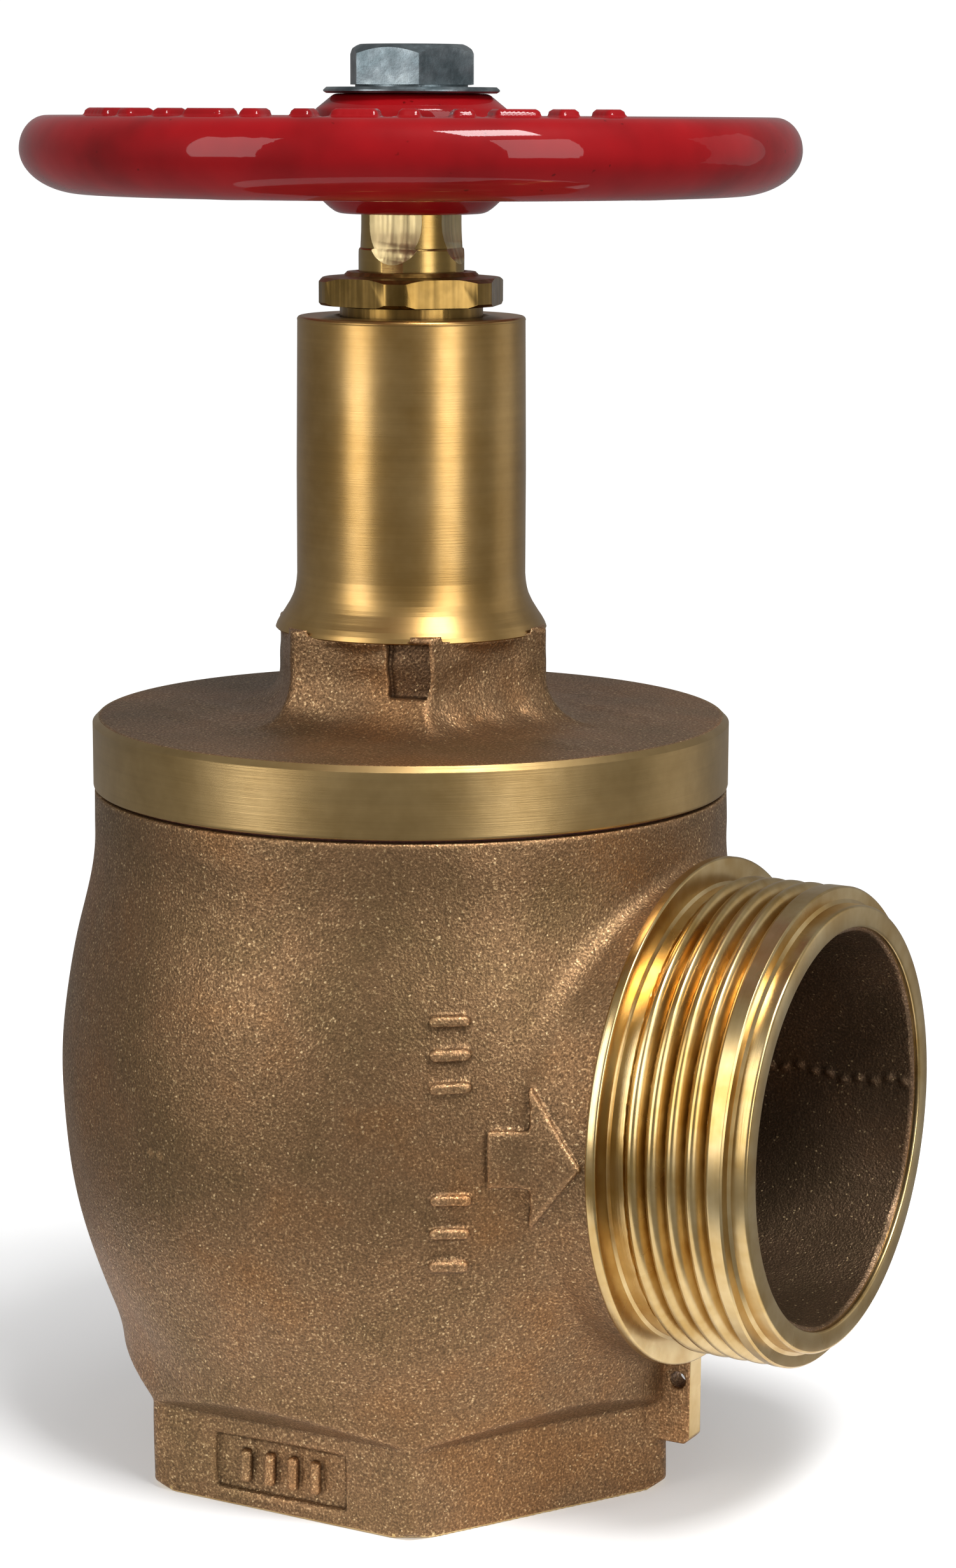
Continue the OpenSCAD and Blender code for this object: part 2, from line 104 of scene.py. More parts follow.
# Lug under the outlet, and the hole through it
LUG_X, LUG_LOW, LUG_HALF = 54.5, 8.8, 2.2
LUG_HOLE = mount("chain_lug")["pos_m"][0] / MM, mount("chain_lug")["pos_m"][2] / MM
LUG_HOLE_R = mount("chain_lug")["dims"]["r_mm"]

# Flow arrow on the outlet's neck, and how far it and the plain bars above it stand up
ARROW_TAIL, ARROW_BACK, ARROW_TIP = 39.4, 45.4, 53.8
RAISED = 1.2

# Outlet, along its own axis from the valve's axis
COLLAR_X, COLLAR_THICK, COLLAR_R = 54.7, 1.9, 41.7
NECK_OUT_R = 40.6
THREAD_PITCH, THREAD_DEPTH = 3.387, 2.2
CREST_END = OUTLET_X - 3.0
PILOT_R, BORE_R, LINING_R = 36.0, 32.0, 32.6

# Angle of the stem's milled flats
FLATS_TURN = -81.5

# Bonnet
FLANGE_TOP = 127.3
HEX_NECK_APOTHEM, HEX_NECK_TURN, HEX_NECK_TOP = 21.15, -54.0, 143.0
SLEEVE_R, FLARE_R = 19.0, 22.6
# Inside of the sleeve: relief round the stem's thread, guide above it, packing chamber on top
RELIEF_R, GUIDE_R, PACKING_R = 13.6, 9.2, 12.2
GUIDE_Z = (167.0, 169.5)
# The flare at the sleeve's foot: how far out from the sleeve and how far up from the cast hexagon
FLARE = ((3.6, -0.3), (3.35, 0.4), (2.85, 1.3), (2.3, 2.1), (1.8, 2.9), (1.3, 3.7), (0.9, 4.5),
         (0.55, 5.3), (0.3, 6.2), (0.1, 7.4), (0.0, 8.6))
SLEEVE_TOP = BONNET_HIGH[2]
# Pocket beside the hexagon's corner: middle (out, sideways, up) and half size, seen along its own turn
POCKET_TURN = HEX_NECK_TURN - 30
POCKET, POCKET_HALF = (HEX_NECK_APOTHEM + 1.2, 8.6, 137.5), (3.0, 3.6, 4.5)

# Handwheel
WHEEL_BOTTOM, WHEEL_MIDDLE, WHEEL_TOP = 213.2, 220.4, 225.8
SPOKES = 5


# ---------------------------------------------------------------- meshes

ALL_SMOOTH = 180  # crease angle of a casting, which has no sharp edge
MACHINED = 28  # crease angle of a machined piece


def mesh(name, vertices, faces, body, smooth=30.0):
    """A piece from vertices in millimetres and faces, riding on a body. smooth is the crease angle."""
    data = bpy.data.meshes.new(name)
    faces = faces.tolist() if isinstance(faces, np.ndarray) else faces
    data.from_pydata((np.asarray(vertices, dtype=np.float32) * MM).tolist(), [], faces)
    data.validate()
    data.shade_smooth()
    if smooth < ALL_SMOOTH:
        data.set_sharp_from_angle(angle=math.radians(smooth))
    piece = bpy.data.objects.new(name, data)
    bpy.context.scene.collection.objects.link(piece)
    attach(piece, body)
    return piece


def held(profile, closed):
    """A profile with extra points near the ends of its long lines, so that they shade straight."""
    margin = 0.12
    points = [np.array(p, dtype=float) for p in profile]
    ends = points[1:] + points[:1] if closed else points[1:]
    result = []
    for start, end in zip(points, ends):
        result.append(start)
        length = np.linalg.norm(end - start)
        if length > 4 * margin:
            step = (end - start) * margin / length
            result += [start + step, end - step]
    return np.array(result if closed else result + points[-1:])


def angles(segments):
    """Angles of the segments of a full turn."""
    return np.arange(segments) * 2 * math.pi / segments


def turned(rings, segments, closed=True):
    """Vertices and quads of rings about +Z: (radius, height), each one number or one for each segment."""
    turn = angles(segments)[:, None]
    radius, height = (np.stack([np.broadcast_to(r[k], segments) for r in rings], axis=1) for k in (0, 1))
    points = np.stack([radius * np.cos(turn), radius * np.sin(turn), height], axis=-1)
    count = len(rings)
    i, j = (a.ravel() for a in np.mgrid[:segments, :count if closed else count - 1])
    i2, j2 = (i + 1) % segments, (j + 1) % count
    faces = np.stack([i * count + j, i2 * count + j, i2 * count + j2, i * count + j2], axis=-1)
    return points.reshape(-1, 3), faces


def lathe(profile, segments, closed=False):
    """Vertices and quads of a profile of (radius, height) points turned about +Z."""
    return turned(held(profile, closed), segments, closed)


def arc(centre, radius, start, end, steps):
    """Points of an arc; angles are in degrees."""
    turns = np.radians(np.linspace(start, end, steps + 1))
    return [(centre[0] + radius * math.cos(t), centre[1] + radius * math.sin(t)) for t in turns]


# ---------------------------------------------------------------- distance fields

def smooth_min(a, b, blend):
    """Union of two fields with a fillet."""
    h = np.clip(0.5 + 0.5 * (b - a) / blend, 0, 1)
    return b + (a - b) * h - blend * h * (1 - h)


def smooth_max(a, b, blend):
    """Intersection of two fields with a rounded edge."""
    return -smooth_min(-a, -b, blend)


def span(value, low, high):
    """How far a value is outside a range, and below 0 inside it."""
    return np.maximum(low - value, value - high)


def rise(value, start, length):
    """0 up to start, 1 from start + length on, and a straight line between."""
    return np.clip((value - start) / length, 0, 1)


def out_and_side(x, y, turn):
    """Places along a level direction at an angle in degrees, and sideways of it."""
    c, s = math.cos(math.radians(turn)), math.sin(math.radians(turn))
    return x * c + y * s, -x * s + y * c


def hexagon(x, y, apothem, turn, rounding):
    """Distance to a hexagonal bar with a corner at angle turn, in degrees."""
    first, second, third = (np.abs(out_and_side(x, y, turn + 30 + 60 * k)[0]) for k in range(3))
    return smooth_max(smooth_max(first, second, rounding), third, rounding) - apothem


def box_field(x, y, z, centre, half, rounding):
    """Distance to a box."""
    q = [np.abs(a - c) - (h - rounding) for a, c, h in zip((x, y, z), centre, half)]
    outside = np.sqrt(sum(np.maximum(a, 0) ** 2 for a in q))
    return outside + np.minimum(np.maximum(np.maximum(q[0], q[1]), q[2]), 0) - rounding


def surface(field, low, high, step):
    """The zero surface of field(x, y, z) in a box, as vertices and quads, by surface nets."""
    counts = [int(round((h - l) / step)) + 1 for l, h in zip(low, high)]
    axes = [(l + np.arange(n) * step).astype(np.float32) for l, n in zip(low, counts)]
    value = field(axes[0][:, None, None], axes[1][None, :, None], axes[2][None, None, :])
    value = np.ascontiguousarray(np.broadcast_to(value, counts), dtype=np.float32)
    inside = value < 0
    cells = [n - 1 for n in counts]
    full = np.zeros(cells, np.uint8)
    offsets = [(i, j, k) for i in (0, 1) for j in (0, 1) for k in (0, 1)]
    for i, j, k in offsets:
        full += inside[i:i + cells[0], j:j + cells[1], k:k + cells[2]]
    active = np.nonzero((full > 0) & (full < 8))
    corner = np.stack([value[active[0] + i, active[1] + j, active[2] + k] for i, j, k in offsets], axis=-1)
    total = np.zeros((len(active[0]), 3))
    hits = np.zeros(len(active[0]))
    for a, start in enumerate(offsets):
        for b, end in enumerate(offsets):
            if b <= a or sum(abs(s - e) for s, e in zip(start, end)) != 1:
                continue
            crosses = (corner[:, a] < 0) != (corner[:, b] < 0)
            share = np.where(crosses, corner[:, a] / np.where(crosses, corner[:, a] - corner[:, b], 1), 0)
            for axis in range(3):
                total[:, axis] += crosses * (start[axis] + share * (end[axis] - start[axis]))
            hits += crosses
    vertices = (np.stack(active, axis=-1) + total / hits[:, None]) * step + np.array(low)
    number = np.full(cells, -1, np.int64)
    number[active] = np.arange(len(active[0]))
    faces = []
    for axis in range(3):
        first = [slice(None)] * 3
        second = [slice(None)] * 3
        first[axis], second[axis] = slice(0, -1), slice(1, None)
        crossing = np.array(np.nonzero(inside[tuple(first)] != inside[tuple(second)]))
        u, v = [k for k in range(3) if k != axis]
        keep = (crossing[u] > 0) & (crossing[v] > 0) & (crossing[u] < cells[u]) & (crossing[v] < cells[v])
        crossing = crossing[:, keep]
        flip = inside[tuple(first)][tuple(crossing)]
        ring = []
        for du, dv in ((1, 1), (0, 1), (0, 0), (1, 0)):
            at = crossing.copy()
            at[u] -= du
            at[v] -= dv
            ring.append(number[tuple(at)])
        quads = np.stack(ring, axis=-1)
        if axis == 1:
            flip = ~flip
        quads[~flip] = quads[~flip][:, ::-1]
        faces.append(quads)
    return vertices, np.concatenate(faces)


def uneven(vertices, amount, size, seed):
    """Vertices moved a little by smooth waves, as a casting's skin is never true."""
    waves, shortest, longest, full_turn = 9, 0.6, 1.6, 6.28
    chance = np.random.default_rng(seed)
    moved = vertices.copy()
    for _ in range(waves):
        way = chance.normal(size=3)
        way /= np.linalg.norm(way)
        length = size * chance.uniform(shortest, longest)
        push = chance.normal(size=3) * amount / math.sqrt(waves)
        wave = np.sin(vertices @ way * 2 * math.pi / length + chance.uniform(0, full_turn))
        moved += wave[:, None] * push
    return moved


# ---------------------------------------------------------------- body casting

def round_body(radius, z, inset=0.0):
    """Distance to the body's round form, drawn in by inset."""
    belly = np.hypot(radius - (BELLY_R - BELLY_ARC), z - BELLY_Z) - (BELLY_ARC - inset)
    neck = np.maximum(radius - (NECK_R - inset), NECK_LOW - z)
    foot = np.maximum(radius - (HEX_CORNER - 0.1 - inset), z - FOOT_TOP)
    return smooth_min(smooth_min(belly, neck, 2.5), foot, 2.0)


def inlet_flats(x, y, z):
    """Distance to the inlet's hexagon. Above its top its sides lean out until the round foot takes over."""
    lean, true_lean, deep_inside = 1.4, 0.58, -5.0
    flats = hexagon(x, y, 0.0, 0.0, 0.7) - (HEX_APOTHEM + lean * np.maximum(z - HEX_TOP, 0))
    return np.where(z < HEX_FADED, flats * np.where(z > HEX_TOP, true_lean, 1.0), deep_inside)


def arrow_field(x, y, z):
    """Distance to the flow arrow's outline, as a bar running out of the side of the outlet's neck."""
    spread, true_spread = 1.22, 0.63
    half_bar, overlap, back_lean, start_y = 4.55, 1.5, 0.1, -20.0
    up = np.abs(z - OUTLET_Z)
    head = np.maximum((up + (x - ARROW_TIP) * spread) * true_spread, ARROW_BACK - back_lean * up - x)
    bar = np.maximum(up - half_bar, span(x, ARROW_TAIL, ARROW_BACK + overlap))
    return np.maximum(smooth_min(head, bar, 1.2), y - start_y)


def rating_bars(x, y, z):
    """Plain raised bars where the casting carries its rating: two groups of three up the body."""
    turn, half_length, half_width, start = -54, 2.4, 0.9, 20
    out, side = out_and_side(x, y, turn)
    bars = []
    for low, step in ((46.0, 5.4), (75.0, 5.2)):
        for k in range(3):
            middle = low + (k + 0.5) * step
            bar = np.hypot(np.maximum(np.abs(side) - half_length, 0), z - middle) - half_width
            bars.append(np.maximum(bar, start - out))
    return bars


def with_panel(shape, x, y, z):
    """A field with the recessed panel cut into the hexagon, and its plain upright bars."""
    shape = smooth_max(shape, -box_field(x, y, z, (0.0, -HEX_APOTHEM, PANEL_Z), PANEL_HALF, 0.2), 0.4)
    for k in range(BAR_COUNT):
        middle = (BAR_STEP * (k - (BAR_COUNT - 1) / 2), -HEX_APOTHEM + 0.2, PANEL_Z - 0.1)
        shape = smooth_min(shape, box_field(x, y, z, middle, BAR_HALF, 0.3), 0.2)
    return shape


def body_inside(x, radius, out, z):
    """Distance to the body's inside: chamber round the seat, inlet, outlet and opening on top."""
    low, high = CHAMBER
    seat_foot, seat_height, lining_start = 1.5, 6, 30.0
    seat = SEAT_R + seat_foot * rise(-z, -SEAT_Z, seat_height)
    inside = np.maximum(round_body(radius, z, WALL), span(z, low, high))
    inside = smooth_max(inside, -np.maximum(radius - seat, z - SEAT_Z), 1.5)
    inside = np.minimum(inside, np.maximum(radius - SEAT_BORE, span(z, *SEAT_CUT)))
    inside = smooth_min(inside, np.maximum(radius - INLET_R - INLET_WALL, z - INLET_DEPTH), 1.0)
    inside = smooth_min(inside, np.maximum(out - LINING_R, lining_start - x), 1.0)
    return np.minimum(inside, np.maximum(radius - OPENING_R, high - 1 - z))


def body_field(x, y, z):
    """Distance to the body casting."""
    neck_start, root_x, root_z, root_half = 20.0, 45.0, 14.0, (4.2, LUG_HALF - 0.1, 13.8)
    cut_width, cut_slope, true_cut = 2.0, 0.8, 0.78
    radius, out = np.hypot(x, y), np.hypot(y, z - OUTLET_Z)
    neck = smooth_max(out - NECK_OUT_R, span(x, neck_start, COLLAR_X + 0.4), 0.5)
    skin = smooth_min(smooth_max(round_body(radius, z), inlet_flats(x, y, z), 0.7), neck, 2.5)
    shape = skin
    for mark in [arrow_field(x, y, z)] + rating_bars(x, y, z):
        shape = smooth_min(shape, smooth_max(mark, skin - RAISED, 0.3), 0.25)
    lug_root = box_field(x, y, z, (root_x, 0.0, LUG_LOW + root_z), root_half, 0.4)
    shape = with_panel(smooth_min(shape, lug_root, 1.5), x, y, z)
    corner_cut = (cut_slope * (radius - HEX_CORNER + cut_width) - z) * true_cut
    shape = np.maximum(np.maximum(shape, corner_cut), span(z, 0.0, BODY_TOP))
    return np.maximum(shape, -body_inside(x, radius, out, z))


def valve_body():
    """The body casting."""
    step = 0.55
    reach, margin, fade = 60.5, 1.0, 4
    high = (reach - 3, reach, BODY_TOP + margin)
    points, faces = surface(body_field, (-reach, -reach, -margin), high, step)
    height = points[:, 2:]
    loose = rise(height, margin, fade) * rise(BODY_TOP - height, margin, fade)
    points = points + (uneven(points, 0.16, 22, 3) - points) * loose
    piece = mesh("body_casting", points, faces, "valve", ALL_SMOOTH)
    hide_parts("body")
    return piece


def lug():
    """The chain lug: cast sides, a milled end, a clipped lower corner and its cross hole."""
    clip, inner, top = 1.0, 44.0, LUG_LOW + 24
    outline = [(inner, LUG_LOW), (LUG_X - clip, LUG_LOW), (LUG_X, LUG_LOW + clip)]
    points, faces = prism(outline + [(LUG_X, top), (inner, top)], -LUG_HALF, LUG_HALF)
    piece = mesh("chain_lug", [(x, -y, z) for x, z, y in points], faces, "valve")
    hole = arc(LUG_HOLE, LUG_HOLE_R, 0, 360, 24)[:-1]
    points, faces = prism(hole, -2 * LUG_HALF, 2 * LUG_HALF)
    cut(piece, tool([(x, -y, z) for x, z, y in points], faces))
    soften(piece, 0.3)
    return piece


def soften(piece, width):
    """Rounds a piece's sharp edges by that many millimetres."""
    bevel = piece.modifiers.new("soften", "BEVEL")
    bevel.width, bevel.segments, bevel.limit_method = width * MM, 2, "ANGLE"
    bevel.angle_limit = math.radians(40)


def mark_faces(piece, material, chosen):
    """Gives the faces that chosen(centre, normal) picks a second material."""
    piece.data.materials.append(material)
    for face in piece.data.polygons:
        if chosen(face.center / MM, face.normal):
            face.material_index = 1


def thread_cut(along, turn):
    """Depth of the hose thread's groove at a place along the outlet's axis and an angle round it."""
    first, run_in, run_out, fade = COLLAR_X + 5.61, -0.6, 4.0, 14
    half_width, roundness = 0.46 * THREAD_PITCH, 1.9
    share = turn / (2 * math.pi)
    phase = (along - first) / THREAD_PITCH - share
    index = np.round(phase)
    off = np.abs(phase - index) * THREAD_PITCH
    depth = THREAD_DEPTH * np.maximum(1 - off / half_width, 0) ** roundness
    return depth * np.clip((run_out - index - share) * fade, 0, 1) * (index + share > run_in)


def outlet_thread():
    """The machined outlet: collar, relief, right-hand hose thread, pilot and rounded mouth."""
    segments, steps = ((480, 300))
    shoulder, behind = COLLAR_X + COLLAR_THICK, COLLAR_X - 0.6
    relief_depth, relief_end, relief_slope = THREAD_DEPTH - 0.5, shoulder + 3.9, 1.2
    root = OUTLET_R - relief_depth
    collar = [(NECK_OUT_R - 3, behind), (COLLAR_R - 1.0, COLLAR_X - 0.3)]
    collar += arc((COLLAR_R - 0.5, COLLAR_X + 0.5), 0.5, 270, 360, 4)
    collar += arc((COLLAR_R - 0.4, shoulder - 0.4), 0.4, 0, 90, 4)
    collar += [(root + 0.5, shoulder), (root, shoulder + 0.4)]
    along = np.linspace(shoulder + 0.5, CREST_END, steps)
    grid_turn, grid_along = np.meshgrid(angles(segments), along, indexing="ij")
    relief = rise(-grid_along, -relief_end, relief_slope) * relief_depth
    chamfer = np.clip(grid_along - (CREST_END - 0.3), 0, 1)
    radius = OUTLET_R - np.maximum(np.maximum(thread_cut(grid_along, grid_turn), relief), chamfer)
    mouth = [(PILOT_R + 0.9, CREST_END), (PILOT_R + 0.3, CREST_END + 0.4), (PILOT_R + 0.2, OUTLET_X - 0.6)]
    mouth += arc((PILOT_R - 0.3, OUTLET_X - 0.5), 0.5, 0, 90, 5)
    mouth += arc((BORE_R + 1.0, OUTLET_X - 0.4), 0.4, 90, 180, 4)
    mouth += [(LINING_R, OUTLET_X - 3.0), (LINING_R, behind)]
    points, faces = turned(collar + list(zip(radius.T, along)) + mouth, segments)
    lying = np.stack([points[:, 2], points[:, 1], OUTLET_Z - points[:, 0]], axis=-1)
    piece = mesh("outlet_thread", lying, faces, "valve", MACHINED)
    return piece


def outlet_lining():
    """The rough cast waterway inside the outlet, with the parting line that its core left."""
    segments, steps = ((480, 90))
    back_r, end = BORE_R + 1.2, OUTLET_X - 0.9
    turn = angles(segments)[:, None]
    start = np.sqrt((BELLY_R - WALL) ** 2 - (BORE_R * np.cos(turn)) ** 2) + 0.3
    share = np.linspace(0, 1, steps)
    along = start * (1 - share) + (end - 0.5) * share
    off = np.angle(np.exp(2j * turn)) / 2 * BORE_R
    wander = 0.5 * np.sin(along * 0.35) + 0.25 * np.sin(along * 1.1 + 1)
    line = np.maximum(0, 1 - np.abs(off - wander) / 0.9) * (0.35 + 0.3 * np.sin(along * 2.3))
    waves = 0.12 * np.sin(5 * turn + along * 0.2) + 0.08 * np.sin(11 * turn - along * 0.31)
    radius = BORE_R + waves - line
    rings = [(back_r, start[:, 0]), (back_r, end), (BORE_R + 0.3, end)] + list(zip(radius.T, along.T))[::-1]
    points, faces = turned(rings, segments)
    lying = np.stack([points[:, 2], points[:, 0], OUTLET_Z + points[:, 1]], axis=-1)
    piece = mesh("outlet_lining", lying, faces, "valve", 40)
    return piece


def inlet_thread():
    """The threaded lining of the inlet, with its right-hand pipe thread cut as a helix."""
    segments, steps = ((240, 100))
    pitch, depth, crest_half, flank = 3.175, 2.0, 0.25, math.radians(30)
    mouth, top = 0.05, INLET_DEPTH - 0.1
    outer, rim = INLET_R + 3.4, INLET_R + 1.6
    along = np.linspace(1.2, top, steps)
    grid_turn, grid_along = np.meshgrid(angles(segments), along, indexing="ij")
    phase = grid_along / pitch - grid_turn / (2 * math.pi)
    off = np.abs(phase - np.round(phase)) * pitch
    radius = INLET_R + np.clip((pitch / 2 - crest_half - off) / math.tan(flank), 0, depth)
    rings = [(outer, top), (outer, mouth), (rim, mouth)] + list(zip(radius.T, along))
    piece = mesh("inlet_thread", *turned(rings, segments), "valve", MACHINED)
    return piece


# ---------------------------------------------------------------- bonnet

def bonnet_field(x, y, z):
    """Distance to the cast part of the bonnet: the flange's top and the wrench hexagon."""
    edge, half_plate, core_r, neck_low = 0.72, 4.05, 14.0, 120
    crown_slope, crown_drop = 0.2, 0.8
    swell_r, swell_z, swell_half, swell_lean, true_swell = 21.0, 140.0, 2.15, 0.6, 0.85
    radius = np.hypot(x, y)
    plate = smooth_max(radius - (FLANGE_R - edge), np.abs(z - (FLANGE_TOP - 4)) - half_plate, 0.15)
    neck = hexagon(x, y, HEX_NECK_APOTHEM, HEX_NECK_TURN, 1.0)
    neck = np.maximum(neck, span(z, neck_low, HEX_NECK_TOP + 2))
    shape = smooth_min(plate, neck, 9.0)
    corner = HEX_NECK_APOTHEM / math.cos(math.radians(30))
    crown = np.maximum(z - HEX_NECK_TOP - crown_slope * (corner - radius), FLARE_R + 0.15 - radius)
    shape = np.maximum(shape, np.minimum(crown, z - HEX_NECK_TOP + crown_drop))
    swell = (radius - swell_r - swell_lean * (z - swell_z)) * true_swell
    shape = smooth_min(shape, np.maximum(swell, np.abs(z - swell_z) - swell_half), 0.6)
    pocket = box_field(*out_and_side(x, y, POCKET_TURN), z, POCKET, POCKET_HALF, 0.2)
    return np.maximum(smooth_max(shape, -pocket, 0.3), core_r - radius)


def bonnet_casting():
    """The cast part of the bonnet: the flange's top and the wrench hexagon."""
    step = 0.45
    reach, lumpy_r, lumpy_top = 54.0, 48, HEX_NECK_TOP - 2
    points, faces = surface(bonnet_field, (-reach, -reach, 118.0), (reach, reach, HEX_NECK_TOP + 3), step)
    lumpy = rise(-np.hypot(points[:, :1], points[:, 1:2]), -lumpy_r, 8) * rise(-points[:, 2:], -lumpy_top, 3)
    points = points + (uneven(points, 0.25, 9, 5) - points) * lumpy
    piece = mesh("bonnet_casting", points, faces, "valve", ALL_SMOOTH)
    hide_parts("bonnet")
    return piece


def flange_edge():
    """The flange's machined edge, down to the gasket and the thread in the body."""
    edge, thread_r, thread_low, inner = FLANGE_R - 0.9, 45.9, 101.0, 40.0
    profile = [(inner, thread_low), (thread_r, thread_low), (thread_r, FLANGE_LOW)]
    profile += arc((FLANGE_R - 0.4, FLANGE_LOW + 0.4), 0.4, 270, 360, 3)
    profile += [(FLANGE_R, FLANGE_TOP - 0.9), (edge, FLANGE_TOP), (edge - 0.3, FLANGE_TOP - 0.1)]
    profile += [(edge - 0.6, FLANGE_TOP - 8.8), (inner, FLANGE_TOP - 15.3)]
    piece = mesh("bonnet_flange", *lathe(profile, 300, True), "valve", MACHINED)
    return piece


def bonnet_sleeve():
    """The tall turned sleeve: flare at its foot, relief, guide and packing chamber inside."""
    ledge, foot, top = HEX_NECK_TOP - 0.6, HEX_NECK_TOP - 8, SLEEVE_TOP - 0.7
    guide_low, guide_high = GUIDE_Z
    profile = [(RELIEF_R, foot), (16.0, foot), (SLEEVE_R, ledge - 0.7), (FLARE_R - 0.2, ledge - 0.5)]
    profile += [(SLEEVE_R + out, ledge + up) for out, up in FLARE]
    profile += [(SLEEVE_R, SLEEVE_TOP - 25), (SLEEVE_R - 0.2, top)]
    profile += arc((SLEEVE_R - 0.75, SLEEVE_TOP - 0.6), 0.6, 0, 90, 4)
    profile += [(PACKING_R + 0.7, SLEEVE_TOP), (PACKING_R, top), (PACKING_R, guide_high)]
    profile += [(GUIDE_R, guide_high), (GUIDE_R, guide_low), (RELIEF_R, guide_low)]
    piece = mesh("bonnet_sleeve", *lathe(profile, 200, True), "valve", MACHINED)
    return piece


# ---------------------------------------------------------------- turned and milled pieces

def cut(piece, *cutters, operation="DIFFERENCE"):
    """Cuts a piece with boolean cutters, and removes them."""
    bpy.context.view_layer.update()
    for cutter in cutters:
        change = piece.modifiers.new("cut", "BOOLEAN")
        change.operation = operation
        change.object = cutter
        change.solver = "EXACT"
    graph = bpy.context.evaluated_depsgraph_get()
    made = bpy.data.meshes.new_from_object(piece.evaluated_get(graph))
    piece.modifiers.clear()
    piece.data = made
    for cutter in cutters:
        bpy.data.objects.remove(cutter)
    made.shade_smooth()
    made.set_sharp_from_angle(angle=math.radians(MACHINED))


def tool(points, faces):
    """A cutting solid for cut()."""
    data = bpy.data.meshes.new("tool")
    data.from_pydata((np.asarray(points) * MM).tolist(), [], faces)
    thing = bpy.data.objects.new("tool", data)
    bpy.context.scene.collection.objects.link(thing)
    return thing


def prism(outline, low, high):
    """Vertices and faces of an upright prism on an outline of (x, y) points."""
    n = len(outline)
    points = [(x, y, z) for z in (low, high) for x, y in outline]
    faces = [tuple(range(n))[::-1], tuple(range(n, 2 * n))]
    faces += [(k, (k + 1) % n, (k + 1) % n + n, k + n) for k in range(n)]
    return points, faces


def hexagon_corners(flats, turn):
    """Corners of a hexagon with that distance across its flats and a corner at angle turn."""
    radius = flats / 2 / math.cos(math.pi / 6)
    around = [math.radians(turn) + 2 * math.pi * k / 6 for k in range(6)]
    return [(radius * math.cos(a), radius * math.sin(a)) for a in around]


def packing_nut():
    """The packing nut: threaded neck, thin hexagon with turned corners, face sloping up to the stem."""
    shoulder, top, low = 195.3, 199.8, SLEEVE_TOP - 4
    bore, neck, corner, flats, turn = 8.8, 11.8, 15.6, 28.6, -70
    profile = [(bore, low), (neck, low), (neck, shoulder - 0.3), (neck + 0.4, shoulder)]
    profile += [(corner - 0.6, shoulder), (corner, shoulder + 0.5), (corner, top - 0.6), (corner - 1.0, top)]
    profile += [(11.2, top + 0.3), (10.6, top + 0.9), (9.3, top + 1.0), (bore, top + 0.6)]
    piece = mesh("packing_nut_turned", *lathe(profile, 144, True), "valve")
    cut(piece, tool(*prism(hexagon_corners(flats, turn), low - 2, top + 3)), operation="INTERSECT")
    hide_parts("packing_nut")
    return piece


def stem():
    """The stem: turned, with four milled flats that end in round run-outs above the packing nut."""
    low, top, step_z = STEM_LOW[2], STEM_HIGH[2], 204.5
    button_r, shank_r, upper_r, thread_r, root_r = 15.5, 9.9, 8.7, 12.7, 10.2
    button_top, thread_low, thread_high, lead, turns = 59.1, 96.0, 146.0, 5.08, 9
    profile = [(0.0, low), (button_r - 0.5, low), (button_r, low + 0.5), (button_r, button_top - 0.5)]
    profile += [(button_r - 0.5, button_top), (shank_r, button_top), (shank_r, thread_low)]
    for k in range(turns):
        z = thread_low + 1.2 + k * lead
        profile += [(thread_r, z), (thread_r, z + 1.3), (root_r, z + 2.4), (root_r, z + 3.7)]
    profile += [(thread_r, thread_high - 1.5), (thread_r, thread_high), (upper_r, thread_high + 0.6)]
    profile += [(upper_r, step_z - 0.2), (8.6, step_z), (8.4, step_z + 0.1), (8.35, top - 0.8), (7.6, top)]
    piece = mesh("stem_turned", *lathe(profile + [(0.0, top)], 128), "spindle")
    cut(piece, *flat_cutters(top + 5))
    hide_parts("stem")
    return piece


def flat_cutters(top):
    """Solids that mill the stem's four flats, each with the round run-out of its cutter."""
    flat, mill_r, run_out, half_width = 7.05, 14.0, 208.6, 12.0
    centre = flat + mill_r
    outline = [(flat, top)] + arc((centre, run_out), mill_r, 180, 270, 16) + [(centre, top)]
    points, faces = prism(outline, -half_width, half_width)
    cutters = []
    for k in range(4):
        c, s = (f(math.radians(FLATS_TURN + 90 * k)) for f in (math.cos, math.sin))
        cutters.append(tool([(d * c + across * s, d * s - across * c, z) for d, z, across in points], faces))
    return cutters


def rim_half(radius, z, width, height):
    """Distance to the rim above or below its middle: flat, with a quarter of an ellipse outside."""
    true_ellipse, start = 0.9, WHEEL_R - width
    up = z - WHEEL_MIDDLE
    edge = (np.hypot((radius - start) / width, up / height) - 1) * height * true_ellipse
    return np.where(radius > start, edge, np.abs(up) - height)


def spoke(x, y, z, turn):
    """Distance to a spoke, an oval bar that sinks a little from hub to rim."""
    half_width, half_height, true_oval = 6.4, 4.0, 3.2
    start, end, level, sink = 5, 54, 220.2, 0.8
    out, side = out_and_side(x, y, turn)
    middle = level + sink * np.cos((out - 14) / 40 * math.pi)
    oval = (np.hypot(side / half_width, (z - middle) / half_height) - 1) * true_oval
    return np.maximum(oval, span(out, start, end))


